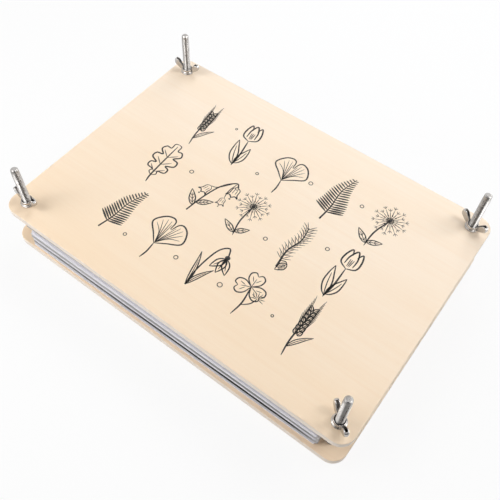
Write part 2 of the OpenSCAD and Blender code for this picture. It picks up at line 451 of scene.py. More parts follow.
def nut_distance(points):
    """Distance to the whole nut: flange and hub, softly joined to two wings, less the bore and its mouth."""
    x, y, z = points[..., 0], points[..., 1], points[..., 2]
    around = np.hypot(x, y)
    cone_r = hub_low_r + (hub_top_r - hub_low_r) * z / nut_h
    cone = disc_distance(around, cone_r, 0, nut_h, z, hub_edge)
    flange = disc_distance(around, flange_r, 0, flange_h, z, flange_edge)
    hub = soft_minimum(cone, flange, flange_fillet)
    body = soft_minimum(hub, wing_distance(np.abs(x), y, z), fold_fillet)
    body = soft_maximum(body, -z, base_edge)
    opening = np.clip((z - nut_h + mouth_depth) / mouth_step, 0, 1)
    bore = around - bore_r - (mouth_r - bore_r) * opening
    return soft_maximum(body, -bore, sheet_edge)


# %% [markdown]
# The surface itself comes from a net. Space around the nut is cut into small cubes. Each cube that the
# surface passes through gets one point, and around each edge that crosses the surface four of these points
# make a quad. Newton steps then move the points onto the surface, and evening them out keeps the quads
# square.

# %% A net drawn onto the surface
nut_step = 0.19 * mm
net_margin = 3 * nut_step
slope_step = 0.01 * mm
least_steepness = 0.25
first_steps = 4
later_steps = 3
evening_rounds = 3


def surface_net(distance, low, high, step):
    """Points and quads of the net over the surface where a distance is nil, inside a box."""
    axes = [np.arange(a, b + step, step) for a, b in zip(low, high)]
    grid = np.stack(np.meshgrid(*axes, indexing="ij"), -1)
    inside = distance(grid) < 0
    count = np.zeros(np.array(inside.shape) - 1, int)
    for i, j, k in np.ndindex(2, 2, 2):
        count += inside[i:count.shape[0] + i, j:count.shape[1] + j, k:count.shape[2] + k]
    crossed = (count > 0) & (count < 8)
    number = np.cumsum(crossed).reshape(crossed.shape) - 1
    points = grid[:-1, :-1, :-1][crossed] + step / 2
    quads = []
    for axis in range(3):
        order = (axis, (axis + 1) % 3, (axis + 2) % 3)
        near = inside.transpose(order)
        cells = number.transpose(order)
        start, end = near[:-1, 1:-1, 1:-1], near[1:, 1:-1, 1:-1]
        change = start != end
        around = [cells[:, :-1, :-1], cells[:, 1:, :-1], cells[:, 1:, 1:], cells[:, :-1, 1:]]
        quad = np.stack([part[change] for part in around], 1)
        backward = ~start[change]
        quad[backward] = quad[backward][:, ::-1]
        quads.append(quad)
    return points, np.concatenate(quads)


def settle(distance, points, steps):
    """Newton steps: each point moves along the distance's slope by the distance that is left."""
    for _ in range(steps):
        slope = np.stack([
            (distance(points + slope_step * unit) - distance(points - slope_step * unit)) / (2 * slope_step)
            for unit in np.eye(3)
        ], 1)
        steepness = np.maximum((slope ** 2).sum(1), least_steepness)
        points = points - slope * (distance(points) / steepness)[:, None]
    return points


def evened(points, quads):
    """Each point moved halfway to the middle of its neighbours in the net."""
    total = np.zeros_like(points)
    share = np.zeros(len(points))
    for k in range(4):
        for neighbour in (quads[:, (k + 1) % 4], quads[:, (k + 3) % 4]):
            np.add.at(total, quads[:, k], points[neighbour])
            np.add.at(share, quads[:, k], 1)
    return (points + total / share[:, None]) / 2


reach_x = wing_end[0] + wing_end_r + net_margin
reach_y = flange_r + net_margin
top_z = wing_end[1] + wing_end_r + net_margin
nut_points, nut_quads = surface_net(
    nut_distance, (-reach_x, -reach_y, -net_margin), (reach_x, reach_y, top_z), nut_step
)
nut_points = settle(nut_distance, nut_points, first_steps)
for _ in range(evening_rounds):
    nut_points = settle(nut_distance, evened(nut_points, nut_quads), later_steps)
nut_faces = nut_quads.tolist()
nut_miss = float(np.abs(nut_distance(nut_points)).max())
print("wing nut:", len(nut_faces), "faces, largest miss in mm:", round(nut_miss / mm, 4))

# %% [markdown]
# The fold and the mouth around the bolt get painted shade. An Ambient Occlusion node would find such places
# by itself, but an exported model loses it. A mask keeps them: one number per point, which grows with the
# point's depth inside the fold or the mouth.

# %% Four nuts, each at its own turn
hollow_margin = 0.1 * mm
fold_darkens_over = 0.25 * mm
mouth_darkens_over = 0.3 * mm
mouth_margin = 0.12 * mm
shade_fade_x = 9.6 * mm
shade_fade_over = 1.6 * mm
least_dark = 0.1
wing_turn = {"front_left": -2, "front_right": -41, "back_left": 8, "back_right": -18}


def hollow_shade_share(points):
    """How much painted shade a point gets, by how deep it lies in the fold of its wing or in the mouth, from
    nil to one. The painted shade fades out towards the fold's open outer end."""
    x, y, z = np.abs(points[:, 0]), points[:, 1], points[:, 2]
    fold = bar_distance(x, z, fold_root, fold_root_r, fold_end, fold_end_r + hollow_margin)
    gap = plan_distance(x, y) + wing_wall - hollow_margin
    depth = -np.maximum(np.maximum(fold, gap), hub_top_r - x)
    shade_kept = np.clip((shade_fade_x - x) / shade_fade_over, least_dark, 1)
    mouth = np.minimum(mouth_r + mouth_margin - np.hypot(x, y), nut_h - hollow_margin - z)
    return np.clip(np.maximum(depth / fold_darkens_over * shade_kept, mouth / mouth_darkens_over), 0, 1)


nut_hollow_shade = hollow_shade_share(nut_points)
nuts = {}
for corner, degrees in wing_turn.items():
    low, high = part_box(f"wing_nut_{corner}")
    spin = np.array(Matrix.Rotation(math.radians(degrees), 3, "Z"))
    placed = nut_points @ spin.T + [*middle_of[corner], low.z]
    nuts[corner] = piece_from(f"folded_wing_nut_{corner}", placed, nut_faces, {"hollow": nut_hollow_shade})
    stand_for(nuts[corner], f"wing_nut_{corner}", f"wing_nut_{corner}")

# %% [markdown]
# ## Cards and blotting paper
# The pile is what the press is for. Blotting paper is soft, so its cut edge wanders by a tenth of a
# millimetre. A box with a Displace modifier would wander in the same way, but its wave would jump at the
# corners. Here the wave is a sum of sines along the outline, so it runs on around them.

# %% Where the slabs of the pile lie
def slabs_of(node):
    """Centre, half sizes, turn and heights of each slab in a CAD node, read from the corners of the slabs."""
    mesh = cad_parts[node].data
    points = np.zeros(len(mesh.vertices) * 3)
    mesh.vertices.foreach_get("co", points)
    points = points.reshape(-1, 3)
    hair = 0.01 * mm
    levels = np.unique(np.round(points[:, 2] / hair)) * hair
    found = []
    for low_z, high_z in zip(levels[::2], levels[1::2]):
        level = points[np.abs(points[:, 2] - low_z) < 2 * hair][:, :2]
        front_left = level[np.argmin(level[:, 0] + level[:, 1])]
        front_right = level[np.argmax(level[:, 0] - level[:, 1])]
        back_left = level[np.argmin(level[:, 0] - level[:, 1])]
        along = front_right - front_left
        centre = (front_right + back_left) / 2
        half_l = np.linalg.norm(along) / 2
        half_w = np.linalg.norm(back_left - front_left) / 2
        turn = math.atan2(along[1], along[0])
        found.append((centre, half_l, half_w, turn, low_z, high_z))
    return found


def laid(points, centre, turn):
    """Points of a slab that was drawn about the origin, turned and moved to its place."""
    spin = np.array(Matrix.Rotation(turn, 3, "Z"))
    return points @ spin.T + [*centre, 0]


# %% Sheets
rng = np.random.default_rng(7)
longest_wave = 90 * mm
paper_count = 8
paper_corner_r = 1.2 * mm
paper_edge_r = 0.12 * mm
paper_wander = 0.12 * mm


def edge_wave(inner, outward, size, longest):
    """A slow wave around an outline: four sines of the distance along it, with random starts."""
    edge = inner + outward * mm
    step = np.linalg.norm(np.roll(edge, -1, 0) - edge, axis=1)
    along = np.concatenate([[0], np.cumsum(step)])[:-1]
    around = step.sum()
    turns = np.maximum(np.round(around / longest * np.array([1, 2.3, 4.1, 9.7])), 1)
    start = rng.uniform(0, 2 * math.pi, 4)
    weight = np.array([0.5, 0.3, 0.15, 0.1])
    return size * (weight * np.sin(along[:, None] / around * 2 * math.pi * turns + start)).sum(1)


def sheet(half_l, half_w, low_z, high_z, corner_r, edge_r, wander, first):
    """Points and faces of one sheet about the origin, its outline wandering inside its own size."""
    inner, outward = rounded_rectangle(half_l, half_w, corner_r, arc_steps=5, side_steps=60)
    insets, heights = arris_profile(low_z, high_z, edge_r, steps=2)
    wave = edge_wave(inner, outward, wander, longest_wave)
    waves = np.broadcast_to(wave, (len(insets), len(wave)))
    rows = slab_rows(inner, outward, corner_r, insets + wander, heights, waves)
    count, columns = rows.shape[:2]
    faces = grid_faces(count, columns, first) + end_faces(count, columns, first)
    return rows.reshape(-1, 3), faces


papers = []
for number in range(1, paper_count + 1):
    node = f"blotting_paper_{number}"
    points, faces = [], []
    for centre, half_l, half_w, turn, low_z, high_z in slabs_of(node):
        first = sum(map(len, points))
        slab, quads = sheet(half_l, half_w, low_z, high_z, paper_corner_r, paper_edge_r, paper_wander, first)
        points.append(laid(slab, centre, turn))
        faces += quads
    papers.append(piece_from(f"blotting_sheets_{number}", np.concatenate(points), faces))
    stand_for(papers[-1], node, node)

# %% [markdown]
# ## The fluted cards
# A card is two white liners with a brown wavy sheet between them, whose tunnels open along the long edges.
# Looking along the tunnels the edge is a dark line, and at a slant it turns pale. The upper liner has slipped
# back a little, and in the middle card the wavy sheet reaches nearly to the edge. A flat card with a painted
# line would give itself away when the pile parts, so the tunnels are real. A mask also paints shade inside
# them: the brown wavy sheet and the inner faces of the liners turn nearly black, by a share that changes
# along each card, and the middle card gets none.

# %% Fluted cards
liner_t = 0.3 * mm
core_t = 0.25 * mm
flute_pitch = 6.4 * mm
steps_per_flute = 10
liner_slip = 0.3 * mm
card_corner_r = 1 * mm
card_edge_r = 0.08 * mm
card_wander = 0.08 * mm
shade_fades_from = 6 * mm
shade_gone_from = 3.6 * mm
last_shade_share = 0.1
# Each card: how far its wavy sheet stays in from the edge, and the painted shade of its inside at the left
# and at the right, changing between two places along the card.
card_rows = [
    {"core_inset": 0.8 * mm, "shade_left": 0.33, "shade_right": 0.95, "change_from": -1, "change_to": -0.25},
    {"core_inset": 0.8 * mm, "shade_left": 0.2, "shade_right": 0.55, "change_from": -0.4, "change_to": 0.8},
    {"core_inset": 0.1 * mm, "shade_left": 0, "shade_right": 0, "change_from": -1, "change_to": 0},
    {"core_inset": 0.8 * mm, "shade_left": 0.3, "shade_right": 0.3, "change_from": -1, "change_to": 0},
    {"core_inset": 0.8 * mm, "shade_left": 0.3, "shade_right": 0.3, "change_from": -1, "change_to": 0},
]


def core_sheet(half_l, half_w, low_z, high_z, first):
    """The wavy sheet: a sine along the card, drawn from the front edge to the back one. Each step along it
    has four points, below and above at the front and at the back, and the grid closes around them."""
    steps = int(2 * half_l / flute_pitch * steps_per_flute)
    x = np.linspace(-half_l, half_l, steps + 1)
    middle = (low_z + high_z) / 2 + (high_z - low_z - core_t) / 2 * np.sin(2 * math.pi * x / flute_pitch)
    y = np.broadcast_to([-half_w, half_w, half_w, -half_w], (steps + 1, 4))
    z = middle[:, None] + core_t / 2 * np.array([-1, -1, 1, 1])
    points = np.stack([np.broadcast_to(x[:, None], y.shape), y, z], 2)
    return points.reshape(-1, 3), grid_faces(steps + 1, 4, first) + end_faces(steps + 1, 4, first)


def inside_shade_share(points, half_l, low_z, high_z, row):
    """How much painted shade a point of the card gets: full on the core and fading over the liners. Along the
    card it changes from the left share to the right one, and nearly ends a few millimetres before the right
    end."""
    change = [row["change_from"] * half_l, row["change_to"] * half_l]
    places = change + [half_l - shade_fades_from, half_l - shade_gone_from]
    shares = [row["shade_left"], row["shade_right"], row["shade_right"], last_shade_share]
    from_core = np.abs(points[:, 2] - (low_z + high_z) / 2) - (high_z - low_z) / 2 + liner_t
    return np.interp(points[:, 0], places, shares) * np.clip(2 - from_core / (liner_t / 2), 0, 1)


cards = []
for number, row in enumerate(card_rows, 1):
    node = f"card_{number}"
    centre, half_l, half_w, turn, low_z, high_z = slabs_of(node)[0]
    cut = (card_corner_r, card_edge_r, card_wander)
    below, faces = sheet(half_l, half_w, low_z, low_z + liner_t, *cut, 0)
    above, upper_faces = sheet(half_l, half_w - liner_slip, high_z - liner_t, high_z, *cut, len(below))
    room = row["core_inset"] + card_wander
    core_place = (half_l - room, half_w - room, low_z + liner_t, high_z - liner_t)
    core, core_faces = core_sheet(*core_place, 2 * len(below))
    points = np.concatenate([below, above, core])
    kraft_and_shade = inside_shade_share(points, half_l, low_z, high_z, row)
    placed = laid(points, centre, turn)
    card = piece_from(f"fluted_card_{number}", placed, faces + upper_faces + core_faces, {"kraft_and_shade": kraft_and_shade})
    card.data.set_sharp_from_angle(angle=sharp_from)
    stand_for(card, node, node)
    cards.append(card)

# %% [markdown]
# ## A print of small plants
# The top board carries a print in black line: three rows of small plants, each at its own slight lean. A pen
# stroke is a flat ribbon of ink, a few hundredths of a millimetre high and narrow at both ends. A filled seed
# or leaflet is the same ribbon with a swelling width. A painted picture would turn soft when it is enlarged,
# while these strokes keep their edges however near the camera comes.

# %% Pen strokes
ink_top = 0.03
ink_foot = -0.05
finest = 0.12
nib = 1.3
end_share = 0.35
ring_steps = 25


def curve(knots, steps=6):
    """A smooth line through its knots. On each span it is a cubic whose slope at a knot is half the way from
    the knot before to the knot after."""
    knots = np.asarray(knots, float)
    line = np.concatenate([2 * knots[:1] - knots[1:2], knots, 2 * knots[-1:] - knots[-2:-1]])
    t = np.linspace(0, 1, steps, endpoint=False)[:, None, None]
    a, b, c, d = line[:-3], line[1:-2], line[2:-1], line[3:]
    linear_part = (c - a) * t / 2
    square_part = (2 * a - 5 * b + 4 * c - d) * t ** 2 / 2
    cube_part = (3 * b - a - 3 * c + d) * t ** 3 / 2
    spans = b + linear_part + square_part + cube_part
    return np.concatenate([spans.transpose(1, 0, 2).reshape(-1, 2), knots[-1:]])


def pen(knots, width=0.6, steps=6):
    """One stroke through its knots, narrow at both ends."""
    line = curve(knots, steps)
    share = np.linspace(0, 1, len(line))
    swell = np.sqrt(np.sin(math.pi * share).clip(0))
    return [(line, width * (end_share + (1 - end_share) * swell))]


def blob(start, end, width, steps=9):
    """A filled oval from one point to another."""
    share = np.linspace(0, 1, steps)
    line = np.asarray(start) * (1 - share[:, None]) + np.asarray(end) * share[:, None]
    return [(line, np.maximum(width * 2 * np.sqrt(share * (1 - share)), finest))]


def moved(marks, place=(0, 0), degrees=0.0, size=1.0, flip=1):
    """Marks turned, sized, mirrored and put in their place."""
    angle = math.radians(degrees)
    spin = np.array([[math.cos(angle), math.sin(angle)], [-math.sin(angle), math.cos(angle)]])
    return [((line * [flip, 1]) @ spin * size + place, np.asarray(width) * size) for line, width in marks]


def ring(radius, width=0.5):
    """A small circle."""
    angle = np.linspace(0, 2 * math.pi, ring_steps)
    return [(radius * np.stack([np.cos(angle), np.sin(angle)], 1), np.full(ring_steps, width))]


def leaf(length, width, veins=0, pen_width=0.6, lean=0.0):
    """An upright leaf in outline, with a midrib and pairs of side veins."""
    share = np.array([0, 0.18, 0.45, 0.75, 1])
    half = np.array([0, 0.36, 0.5, 0.28, 0]) * width
    middle = lean * share ** 2
    marks = pen(np.stack([middle - half, share * length], 1), pen_width)
    marks += pen(np.stack([middle + half, share * length], 1), pen_width)
    marks += pen(np.stack([middle, share * length], 1)[:4], pen_width * 0.7)
    for k in range(veins):
        at = 0.15 + 0.6 * k / veins
        for side in (-1, 1):
            tip = (lean * (at + 0.2) ** 2 + side * width * 0.36, (at + 0.2) * length)
            marks += pen([(lean * at ** 2, at * length), tip], pen_width * 0.5, 3)
    return marks


# %% [markdown]
# Each plant is drawn upright on its own, with its foot at nil, and gives back its strokes. So it can be
# turned, sized and mirrored wherever the print needs one. The knots are in millimetres, as on a pencil
# drawing.

# %% Plants
def fern():
    """A stem with pairs of leaflets that shorten towards its tip."""
    stem = curve([(0, 0), (0.6, 12), (-0.4, 26), (2.4, 40)], 7)
    marks = [(stem, np.linspace(0.9, 0.35, len(stem)))]
    for k in range(4, len(stem) - 1):
        reach = 9.5 * (1 - (k / len(stem)) ** 1.6) + 1
        for side in (-1, 1):
            tip = stem[k] + [side * reach, reach * 0.42]
            marks += blob(stem[k], tip, 0.55 + reach * 0.045)
    return marks


def tulip():
    """A flower of three petals in outline, over two leaves that lean apart."""
    marks = pen([(0, 0), (0.8, 10), (0, 24)], 0.9)
    marks += moved(leaf(22, 5.5, 0, 0.7, 3.5), (0, 1), 24)
    marks += moved(leaf(17, 5, 0, 0.7, 3), (0, 2), -26, flip=-1)
    half_cup = pen([(0, 24), (-5.2, 27), (-5.6, 33), (-3.6, 38.5), (-1.6, 34.5)], 0.85)
    marks += half_cup + moved(half_cup, flip=-1)
    marks += pen([(-2.9, 27), (-2.6, 33.5), (0, 39), (2.6, 33.5), (2.9, 27)], 0.85)
    for x in (-1.2, 0, 1.2):
        marks += pen([(x * 0.6, 26), (x, 32)], 0.45, 4)
    return marks


def clover():
    """Three leaflets, each one half and its mirror image, and a small round flower head."""
    marks = pen([(0, 0), (1.6, 10), (0.4, 22)], 0.8)
    half_leaf = pen([(0, 0), (-4.6, 4.2), (-5.4, 8.8), (-2.6, 11), (0, 9)], 0.75)
    leaflet = half_leaf + moved(half_leaf, flip=-1) + pen([(0, 0), (0, 7)], 0.4, 4)
    for side in (-1, 1):
        leaflet += pen([(side * 0.8, 4), (side * 3.2, 7.6)], 0.4, 4)
    for degrees in (-112, 0, 112):
        marks += moved(leaflet, (0.4, 22), degrees, 0.92)
    marks += pen([(1.2, 8), (6, 12), (8, 17)], 0.6)
    for degrees in range(-105, 106, 30):
        marks += moved(pen([(0, 0.6), (0, 4.6)], 0.4, 2), (8, 17), degrees)
    return marks


def barley():
    """An ear: pairs of grains up the stem, each with its bristle, and one long leaf."""
    marks = pen([(0, 0), (-1, 12), (0.4, 34)], 0.8)
    marks += moved(leaf(16, 2.4, 0, 0.5, 4), (-0.6, 6), -24)
    for k in range(7):
        for side in (-1, 1):
            place = (side * 0.7, 15 + 2.9 * k)
            marks += moved(leaf(4.6, 2.3, 0, 0.6), place, -side * 24)
            marks += moved(pen([(0, 4.4), (-side * 0.7, 15 - k * 0.6)], 0.32, 4), place, -side * 17)
    return marks


def bellflower():
    """A bent stem with three hanging bells, each one half and its mirror image, and two leaves."""
    stem = curve([(0, 0), (1, 14), (4, 28), (10, 36), (13, 34)], 6)
    marks = [(stem, np.full(len(stem), 0.75))]
    half_bell = [(0, 0), (-2.7, -2), (-3, -6.4), (-4.6, -9), (-2.2, -8)]
    other_half = [(-x, y) for x, y in half_bell[::-1]]
    bell = pen([*half_bell, (0, -9.6), *other_half], 0.7, 4)
    bell += pen([(0, -9), (0, -11)], 0.5, 3) + blob((0, -11), (0, -12.2), 1.2, 5)
    bell += pen([(-1, -2), (-1.2, -6.5)], 0.4, 3) + pen([(1, -2), (1.2, -6.5)], 0.4, 3)
    marks += moved(bell, stem[-1], 8, 0.9)
    marks += pen([stem[17], (3, 26), (-1, 24)], 0.5) + moved(bell, (-1, 24), -14, 0.8)
    marks += pen([stem[19], (10, 28), (11.5, 22)], 0.5, 4) + moved(bell, (11.5, 22), 10, 0.65)
    marks += moved(leaf(13, 4, 3), (0.3, 5), 42) + moved(leaf(11, 3.6, 3), (0.7, 8), -48)
    return marks


def ginkgo():
    """A fan on a stalk, one half and its mirror image, with ribs that spread from its foot."""
    marks = pen([(1.5, 0), (1.5, 6), (0, 13)], 0.8)
    rim = [(-13, 24), (-10, 31.5), (-5, 34.5), (-1.6, 33), (-0.4, 27)]
    rib_ends = [(10.4, 25), (9, 29), (6.6, 31.4), (4, 32), (2, 30)]
    half_fan = pen([(0, 13), (-6, 18), *rim], 0.85)
    for x, y in rib_ends:
        half_fan += pen([(0, 13.5), (-x * 0.4, 21), (-x, y)], 0.38, 5)
    for side in (-1, 1):
        marks += moved(half_fan, flip=side)
    return marks


def dandelion():
    """A seed head: stalks all around one point, by turns long and short, each with three hairs."""
    marks = pen([(0, 0), (-1.6, 12), (0, 26)], 0.8) + blob((-1.3, 26), (1.3, 26), 2.4)
    seeds = 20
    for k in range(seeds):
        angle = 2 * math.pi * k / seeds
        reach = 9.6 if k % 2 else 7.4
        out = np.array([math.sin(angle), math.cos(angle)])
        tip = np.array([0, 26]) + out * reach
        marks += pen([np.array([0, 26]) + out, tip], 0.35, 3) + blob(tip - out * 6, tip - out * 4.6, 0.7, 5)
        for turn in (-40, 0, 40):
            marks += moved(pen([(0, 0), (0, 2.2)], 0.32, 2), tip, -math.degrees(angle) + turn)
    marks += moved(leaf(12, 3.6, 2), (-0.4, 2), 58) + moved(leaf(10, 3.4, 2), (-0.6, 3), -54)
    return marks


def oak():
    """A lobed leaf, one half and its mirror image, with pairs of side veins."""
    half_leaf = [
        (0, 6), (-2.6, 8), (-2.2, 10.5), (-6.4, 11.5), (-6.6, 15), (-3.6, 16.5), (-8.4, 19), (-8, 23),
        (-4, 24), (-7.4, 27.5), (-5.8, 31), (-2.6, 31), (-2.4, 35), (0, 36),
    ]
    outline = pen(half_leaf, 0.8, 4)
    marks = outline + moved(outline, flip=-1) + pen([(1, 0), (0, 8), (0, 34)], 0.8)
    for y in (9, 16, 23):
        for side in (-1, 1):
            marks += pen([(0, y), (side * 5.4, y + 4.6)], 0.45, 4)
    return marks


def snowdrop():
    """A hanging flower of three petals on a bent stem, over two narrow leaves."""
    stem = curve([(0, 0), (-1, 14), (1, 30), (6, 36), (9, 31)], 6)
    marks = [(stem, np.full(len(stem), 0.75))] + blob((9, 31.4), (9.2, 28), 2.6)
    for degrees in (150, 180, 210):
        marks += moved(leaf(11.5, 4.8, 0, 0.7), (9.2, 28.6), degrees)
    marks += moved(leaf(25, 2.6, 0, 0.6, -3), (0, 0), 8) + moved(leaf(19, 2.6, 0, 0.6, 4), (0, 0), -12)
    return marks


def pine():
    """A twig with pairs of needles, and one cone on a short stalk."""
    stem = curve([(0, 0), (-1.4, 14), (1.4, 26), (0, 37)], 9)
    marks = [(stem, np.linspace(1.1, 0.5, len(stem)))]
    for k in range(4, len(stem), 2):
        for side in (-1, 1):
            for reach in (3.6, 5.4):
                marks += pen([stem[k], stem[k] + [side * reach, 8.6 - reach]], 0.4, 2)
    marks += pen([(-0.6, 5), (2.4, 6.4), (4.6, 5.4)], 0.6, 4)
    marks += moved(leaf(9, 4.8, 5, 0.65), (4.6, 5.4), 152)
    return marks


# %% The rows on the board
row_plants = [
    (-76, [fern, ginkgo, snowdrop, clover, barley]),
    (-24, [oak, bellflower, dandelion, pine, tulip]),
    (28, [barley, tulip, ginkgo, fern, dandelion]),
]
column_pitch = 41
most_lean = 9
size_range = (1.1, 1.25)
stray = 2
ring_rise = (2, 44)
ring_size = (0.8, 1.9)
rng_print = np.random.default_rng(3)
marks = []
for base_y, plants in row_plants:
    for k, plant in enumerate(plants):
        x = (k - (len(plants) - 1) / 2) * column_pitch
        lean = rng_print.uniform(-most_lean, most_lean)
        size = rng_print.uniform(*size_range)
        foot = (x + rng_print.uniform(-stray, stray), base_y + rng_print.uniform(-stray, stray))
        marks += moved(plant(), foot, lean, size)
        if k:
            ring_x = x - column_pitch / 2 + rng_print.uniform(-stray, stray)
            ring_y = base_y + rng_print.uniform(*ring_rise)
            marks += moved(ring(rng_print.uniform(*ring_size)), (ring_x, ring_y))


def ink_piece(name, marks, level):
    """All strokes as closed ribbons: four points around each point of the line, at both sides, below and
    above. The sides lie at right angles to the line's slope, half a nib's stroke away."""
    points, faces, first = [], [], 0
    for line, width in marks:
        slope = np.gradient(line, axis=0)
        side = np.stack([-slope[:, 1], slope[:, 0]], 1)
        side *= (nib * np.asarray(width) / 2 / np.maximum(np.linalg.norm(slope, axis=1), 1e-6))[:, None]
        flat = np.stack([line - side, line + side, line + side, line - side], 1)
        ribbon_z = np.array([ink_foot, ink_foot, ink_top, ink_top])[:, None]
        height = np.broadcast_to(ribbon_z, (*flat.shape[:2], 1))
        points.append(np.concatenate([flat, height], 2).reshape(-1, 3))
        faces += grid_faces(len(line), 4, first) + end_faces(len(line), 4, first)
        first += 4 * len(line)
    points = np.concatenate(points) * mm + [0, 0, level]
    return piece_from(name, points, faces)


ink = ink_piece("printed_plants", marks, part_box("top_board")[1].z)
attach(ink, "top_board")
print("printed plants:", len(marks), "strokes,", len(ink.data.polygons), "faces")

# %% [markdown]
# ## Finishes
# Every finish is a tree of nodes that works a colour, a roughness and a small height out of the place on the
# piece, so nothing has to be unwrapped or painted. A few short helpers keep the trees readable: they add a
# node with its values, start a material, tell its sides from its flats, and turn a height into relief.

# %% Node helpers
def linear(red, green, blue):
    """A screen colour, 0 to 255, as the linear colour that shaders take: the sRGB curve undone."""
    share = np.array([red, green, blue]) / 255
    straight = np.where(share <= 0.04045, share / 12.92, ((share + 0.055) / 1.055) ** 2.4)
    return (*straight.tolist(), 1)


def add(tree, kind, values=None, **settings):
    """A new node. Settings are its own properties, and values go into its inputs: a number, or a socket."""
    node = tree.nodes.new(kind)
    for name, value in settings.items():
        setattr(node, name, value)
    for name, value in (values or {}).items():
        if isinstance(value, bpy.types.NodeSocket):
            tree.links.new(value, node.inputs[name])
        else:
            node.inputs[name].default_value = value
    return node


def math_of(tree, operation, *values):
    """One sum, and its result."""
    return add(tree, "ShaderNodeMath", dict(enumerate(values)), operation=operation).outputs[0]


def mix_colour(tree, share, low, high, blend="MIX"):
    """Two colours mixed by a share."""
    node = add(tree, "ShaderNodeMix", data_type="RGBA", blend_type=blend)
    for socket, value in ((node.inputs[0], share), (node.inputs[6], low), (node.inputs[7], high)):
        if isinstance(value, bpy.types.NodeSocket):
            tree.links.new(value, socket)
        else:
            socket.default_value = value
    return node.outputs[2]


def spread(tree, value, low, high, to_low=0.0, to_high=1.0):
    """A value from one range laid over another, with its ends held."""
    node = add(tree, "ShaderNodeMapRange", {
        "Value": value, "From Min": low, "From Max": high, "To Min": to_low, "To Max": to_high,
    })
    return node.outputs["Result"]


def start_material(name, **plain):
    """A material with its Principled shader. Values that are the same all over go on the shader itself."""
    material = bpy.data.materials.new(name)
    material.use_nodes = True
    tree = material.node_tree
    shader = tree.nodes["Principled BSDF"]
    for socket, value in plain.items():
        shader.inputs[socket.replace("_", " ")].default_value = value
    return material, tree, shader


def raise_by(tree, shader, height, strength, distance):
    """A small relief: the height tilts the normal that the shader takes."""
    bump = add(tree, "ShaderNodeBump", {"Height": height, "Strength": strength, "Distance": distance})
    tree.links.new(bump.outputs["Normal"], shader.inputs["Normal"])


def side_share_of(tree, place):
    """One on the upright sides of a piece and nil on its flats, by how upright the normal is."""
    upright = add(tree, "ShaderNodeSeparateXYZ", {0: place.outputs["Normal"]}).outputs["Z"]
    return spread(tree, math_of(tree, "ABSOLUTE", upright), 0.35, 0.8, 1.0, 0.0)


def give(piece, material):
    """One material all over the piece."""
    piece.data.materials.clear()
    piece.data.materials.append(material)
    print(piece.name, "is finished in", material.name)


# %% [markdown]
# Wood, metal and paper are all uneven in their own direction. One group of nodes makes that unevenness for
# all of them, so a change in one place changes each finish in the same way.

# %% Noise group
def make_streaks():
    """A group used by every finish: noise stretched along the axes, in millimetres, with a fine and a
    coarse part. Wood draws it out along the grain, paper leaves it round, metal makes it thin."""
    group = bpy.data.node_groups.new("streaks", "ShaderNodeTree")
    side = group.interface
    side.new_socket("Stretch", in_out="INPUT", socket_type="NodeSocketVector")
    side.new_socket("Shift", in_out="INPUT", socket_type="NodeSocketVector")
    side.new_socket("Detail", in_out="INPUT", socket_type="NodeSocketFloat")
    side.new_socket("Share", in_out="OUTPUT", socket_type="NodeSocketFloat")
    inlet = add(group, "NodeGroupInput")
    place = add(group, "ShaderNodeTexCoord").outputs["Object"]
    shift = inlet.outputs["Shift"]
    stretch = inlet.outputs["Stretch"]
    shifted = add(group, "ShaderNodeVectorMath", {0: place, 1: shift}, operation="ADD")
    scaled = add(group, "ShaderNodeVectorMath", {0: shifted.outputs[0], 1: stretch}, operation="MULTIPLY")
    noise = add(group, "ShaderNodeTexNoise", {
        "Vector": scaled.outputs[0], "Scale": 1 / mm, "Detail": inlet.outputs["Detail"], "Roughness": 0.55,
    })
    outlet = add(group, "NodeGroupOutput")
    group.links.new(noise.outputs["Fac"], outlet.inputs["Share"])
    return group


streaks_group = make_streaks()


def streaks(tree, stretch, shift, detail):
    """One use of the streaks group. Stretch is how many blotches there are in a millimetre along X, Y
    and Z."""
    node = add(tree, "ShaderNodeGroup", node_tree=streaks_group)
    node.inputs["Stretch"].default_value = stretch
    node.inputs["Shift"].default_value = shift
    node.inputs["Detail"].default_value = detail
    return node.outputs["Share"]


# %% [markdown]
# ## Plywood
# The boards are pale sanded plywood. From above one veneer shows: faint clouds, long streaks, fine grain and
# short darker pores, all drawn out along the board. The sides show five plies, laid by turns along and
# across, which is a band of tones over the height. A photograph of wood would blur near the camera and
# repeat itself, so all of it is noise, and the two boards read it at different places.

# %% Plywood
wood_tones = {
    "face": (251, 231, 207),
    "pale_face": (253, 236, 216),
    "streak": (249, 226, 200),
    "grain": (247, 222, 195),
    "pore": (236, 206, 172),
    "pale_ply": (241, 232, 222),
    "ply": (233, 219, 204),
    "end_grain": (223, 207, 190),
}
front_painted_shade = (1, 0.95, 0.87, 1)
ply_blur = 0.015
top_shift = (0.31, 0.17, 0.0)
bottom_shift = (0.83, 0.52, 0.4)


